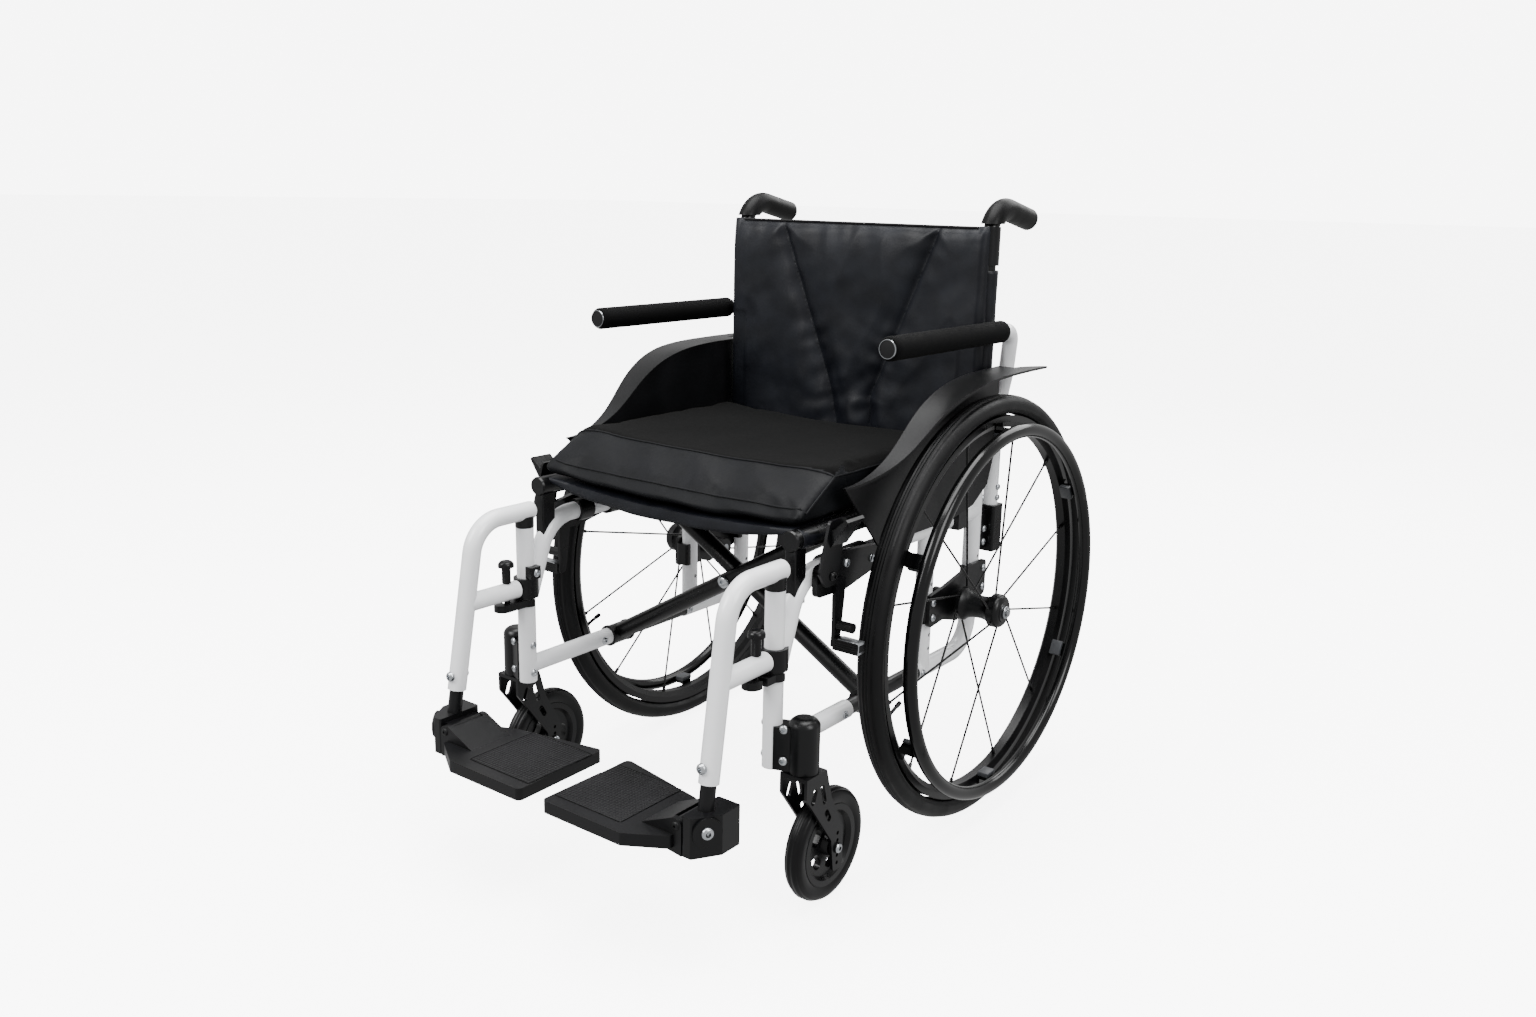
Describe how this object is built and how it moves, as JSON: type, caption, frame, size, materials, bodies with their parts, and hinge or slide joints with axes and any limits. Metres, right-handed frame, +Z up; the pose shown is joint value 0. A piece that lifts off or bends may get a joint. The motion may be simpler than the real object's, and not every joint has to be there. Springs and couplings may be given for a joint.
{
  "type": "manual wheelchair",
  "caption": "Folding self-propelled wheelchair with a welded side-frame pair, cross brace, spoked rear wheels with handrims, swivel casters and swing-away footrests.",
  "frame": {"origin": "on the floor, under the middle of the chair with its footplates", "axes": "+Z up, the occupant faces -Y, +X is the occupant's left"},
  "size_m": [0.6486, 0.9189, 0.8734],
  "materials": {
    "frame_white": "gloss powder coat",
    "tube_black": "satin black",
    "bracket_black": "satin black",
    "grip": "matte",
    "guard": "satin",
    "bolt": "zinc plated",
    "tyre": "matte",
    "rim": "satin black",
    "spoke": "black",
    "hub": "satin black",
    "handrim": "gloss black",
    "axle_steel": "polished",
    "fork": "satin black",
    "caster_core": "satin",
    "caster_tyre": "satin",
    "lever": "satin",
    "brake": "cast and extruded",
    "footplate": "textured",
    "foam": "foam",
    "upholstery": "coated nylon"
  },
  "bodies": {
    "left_frame": {"left_side_frame": "frame_white", "left_lower_tube": "tube_black", "left_axle_bracket": "bracket_black", "left_back_post": "tube_black", "left_push_grip": "grip", "left_side_guard": "guard", "left_frame_brackets": "bracket_black", "left_frame_fasteners": "bolt", "left_caster_housing": "bracket_black", "backrest": "upholstery"},
    "rear_cross": {"rear_cross_tube": "tube_black", "right_seat_rail": "tube_black"},
    "front_cross": {"front_cross_tube": "tube_black", "left_seat_rail": "tube_black", "brace_pivot_bolt": "bolt"},
    "right_frame": {"right_side_frame": "frame_white", "right_lower_tube": "tube_black", "right_axle_bracket": "bracket_black", "right_back_post": "tube_black", "right_push_grip": "grip", "right_side_guard": "guard", "right_frame_brackets": "bracket_black", "right_frame_fasteners": "bolt", "right_caster_housing": "bracket_black"},
    "seat": {"seat_sling": "upholstery", "cushion": "upholstery"},
    "left_axle": {"left_quick_release_axle": "axle_steel"},
    "left_wheel": {"left_tyre": "tyre", "left_rim": "rim", "left_spokes": "spoke", "left_hub": "hub", "left_handrim": "handrim"},
    "left_caster_fork": {"left_caster_fork": "fork"},
    "left_caster_wheel": {"left_caster_wheel": "caster_core", "left_caster_tyre": "caster_tyre"},
    "left_brake_lever": {"left_brake_lever": "lever"},
    "left_brake_arm": {"left_brake_arm": "brake"},
    "left_hanger": {"left_hanger_tube": "frame_white", "left_footrest_stem": "tube_black"},
    "left_knob": {"left_release_knob": "bracket_black"},
    "left_footplate": {"left_footplate": "footplate"},
    "left_armrest": {"left_armrest_tube": "frame_white", "left_armrest_pad": "foam"},
    "right_axle": {"right_quick_release_axle": "axle_steel"},
    "right_wheel": {"right_tyre": "tyre", "right_rim": "rim", "right_spokes": "spoke", "right_hub": "hub", "right_handrim": "handrim"},
    "right_caster_fork": {"right_caster_fork": "fork"},
    "right_caster_wheel": {"right_caster_wheel": "caster_core", "right_caster_tyre": "caster_tyre"},
    "right_brake_lever": {"right_brake_lever": "lever"},
    "right_brake_arm": {"right_brake_arm": "brake"},
    "right_hanger": {"right_hanger_tube": "frame_white", "right_footrest_stem": "tube_black"},
    "right_knob": {"right_release_knob": "bracket_black"},
    "right_footplate": {"right_footplate": "footplate"},
    "right_armrest": {"right_armrest_tube": "frame_white", "right_armrest_pad": "foam"}
  },
  "joints": [
    {"name": "brace_fold", "type": "hinge", "parent": "left_frame", "child": "rear_cross", "pos_m": [0.2175, -0.0495, 0.216], "axis": [0, 1, 0], "range_deg": [0, 32], "deforming": ["seat_sling", "backrest", "cushion"]},
    {"name": "brace_crossing", "type": "hinge", "parent": "rear_cross", "child": "front_cross", "pos_m": [0, -0.0645, 0.344], "axis": [0, 1, 0], "range_deg": [-64, 0]},
    {"name": "right_frame_fold", "type": "hinge", "parent": "front_cross", "child": "right_frame", "pos_m": [-0.2175, -0.0795, 0.216], "axis": [0, 1, 0], "range_deg": [0, 32]},
    {"name": "seat_rise", "type": "slide", "parent": "left_frame", "child": "seat", "axis": [0, 0, 1], "range_m": [0, 0.192]},
    {"name": "left_wheel_pull_off", "type": "slide", "parent": "left_frame", "child": "left_axle", "axis": [1, 0, 0], "range_m": [0, 0.06]},
    {"name": "left_wheel_spin", "type": "hinge", "parent": "left_axle", "child": "left_wheel", "pos_m": [0.2754, 0.1545, 0.305], "axis": [1, 0, 0], "continuous": true},
    {"name": "left_caster_swivel", "type": "hinge", "parent": "left_frame", "child": "left_caster_fork", "pos_m": [0.255, -0.2475, 0.19], "axis": [0, 0, 1], "continuous": true},
    {"name": "left_caster_spin", "type": "hinge", "parent": "left_caster_fork", "child": "left_caster_wheel", "pos_m": [0.255, -0.1975, 0.0745], "axis": [1, 0, 0], "continuous": true},
    {"name": "left_brake_set", "type": "hinge", "parent": "left_frame", "child": "left_brake_lever", "pos_m": [0.24, -0.1905, 0.425], "axis": [1, 0, 0], "range_deg": [0, 36]},
    {"name": "left_brake_shoe", "type": "hinge", "parent": "left_frame", "child": "left_brake_arm", "pos_m": [0.24, -0.1635, 0.408], "axis": [1, 0, 0], "range_deg": [0, 10]},
    {"name": "left_hanger_swing", "type": "hinge", "parent": "left_frame", "child": "left_hanger", "pos_m": [0.2175, -0.262, 0.441], "axis": [0, 0, 1], "range_deg": [0, 90]},
    {"name": "left_hanger_release", "type": "slide", "parent": "left_hanger", "child": "left_knob", "axis": [0, 0, 1], "range_m": [0, 0.008], "stiffness_N_per_m": 600, "springref_m": -0.012},
    {"name": "left_footplate_flip", "type": "hinge", "parent": "left_hanger", "child": "left_footplate", "pos_m": [0.203, -0.3905, 0.172], "axis": [0, 1, 0], "range_deg": [0, 88]},
    {"name": "left_armrest_swing", "type": "hinge", "parent": "left_frame", "child": "left_armrest", "pos_m": [0.222, 0.2645, 0.4], "axis": [0, 0, 1], "range_deg": [0, 90]},
    {"name": "right_wheel_pull_off", "type": "slide", "parent": "right_frame", "child": "right_axle", "axis": [-1, 0, 0], "range_m": [0, 0.06]},
    {"name": "right_wheel_spin", "type": "hinge", "parent": "right_axle", "child": "right_wheel", "pos_m": [-0.2754, 0.1545, 0.305], "axis": [1, 0, 0], "continuous": true},
    {"name": "right_caster_swivel", "type": "hinge", "parent": "right_frame", "child": "right_caster_fork", "pos_m": [-0.255, -0.2475, 0.19], "axis": [0, 0, 1], "continuous": true},
    {"name": "right_caster_spin", "type": "hinge", "parent": "right_caster_fork", "child": "right_caster_wheel", "pos_m": [-0.255, -0.1975, 0.0745], "axis": [1, 0, 0], "continuous": true},
    {"name": "right_brake_set", "type": "hinge", "parent": "right_frame", "child": "right_brake_lever", "pos_m": [-0.24, -0.1905, 0.425], "axis": [1, 0, 0], "range_deg": [0, 36]},
    {"name": "right_brake_shoe", "type": "hinge", "parent": "right_frame", "child": "right_brake_arm", "pos_m": [-0.24, -0.1635, 0.408], "axis": [1, 0, 0], "range_deg": [0, 10]},
    {"name": "right_hanger_swing", "type": "hinge", "parent": "right_frame", "child": "right_hanger", "pos_m": [-0.2175, -0.262, 0.441], "axis": [0, 0, -1], "range_deg": [0, 90]},
    {"name": "right_hanger_release", "type": "slide", "parent": "right_hanger", "child": "right_knob", "axis": [0, 0, 1], "range_m": [0, 0.008], "stiffness_N_per_m": 600, "springref_m": -0.012},
    {"name": "right_footplate_flip", "type": "hinge", "parent": "right_hanger", "child": "right_footplate", "pos_m": [-0.203, -0.3905, 0.172], "axis": [0, -1, 0], "range_deg": [0, 88]},
    {"name": "right_armrest_swing", "type": "hinge", "parent": "right_frame", "child": "right_armrest", "pos_m": [-0.222, 0.2645, 0.4], "axis": [0, 0, -1], "range_deg": [0, 90]}
  ],
  "couplings": [
    {"joint": "brace_crossing", "follows": "brace_fold", "ratio": -2},
    {"joint": "right_frame_fold", "follows": "brace_fold", "ratio": 1},
    {"joint": "seat_rise", "follows": "brace_fold", "m_per_rad": 0.3429},
    {"joint": "left_brake_shoe", "follows": "left_brake_set", "ratio": 0.25},
    {"joint": "left_footplate_flip", "follows": "brace_fold", "ratio": 2.75},
    {"joint": "right_brake_shoe", "follows": "right_brake_set", "ratio": 0.25},
    {"joint": "right_footplate_flip", "follows": "brace_fold", "ratio": 2.75}
  ]
}
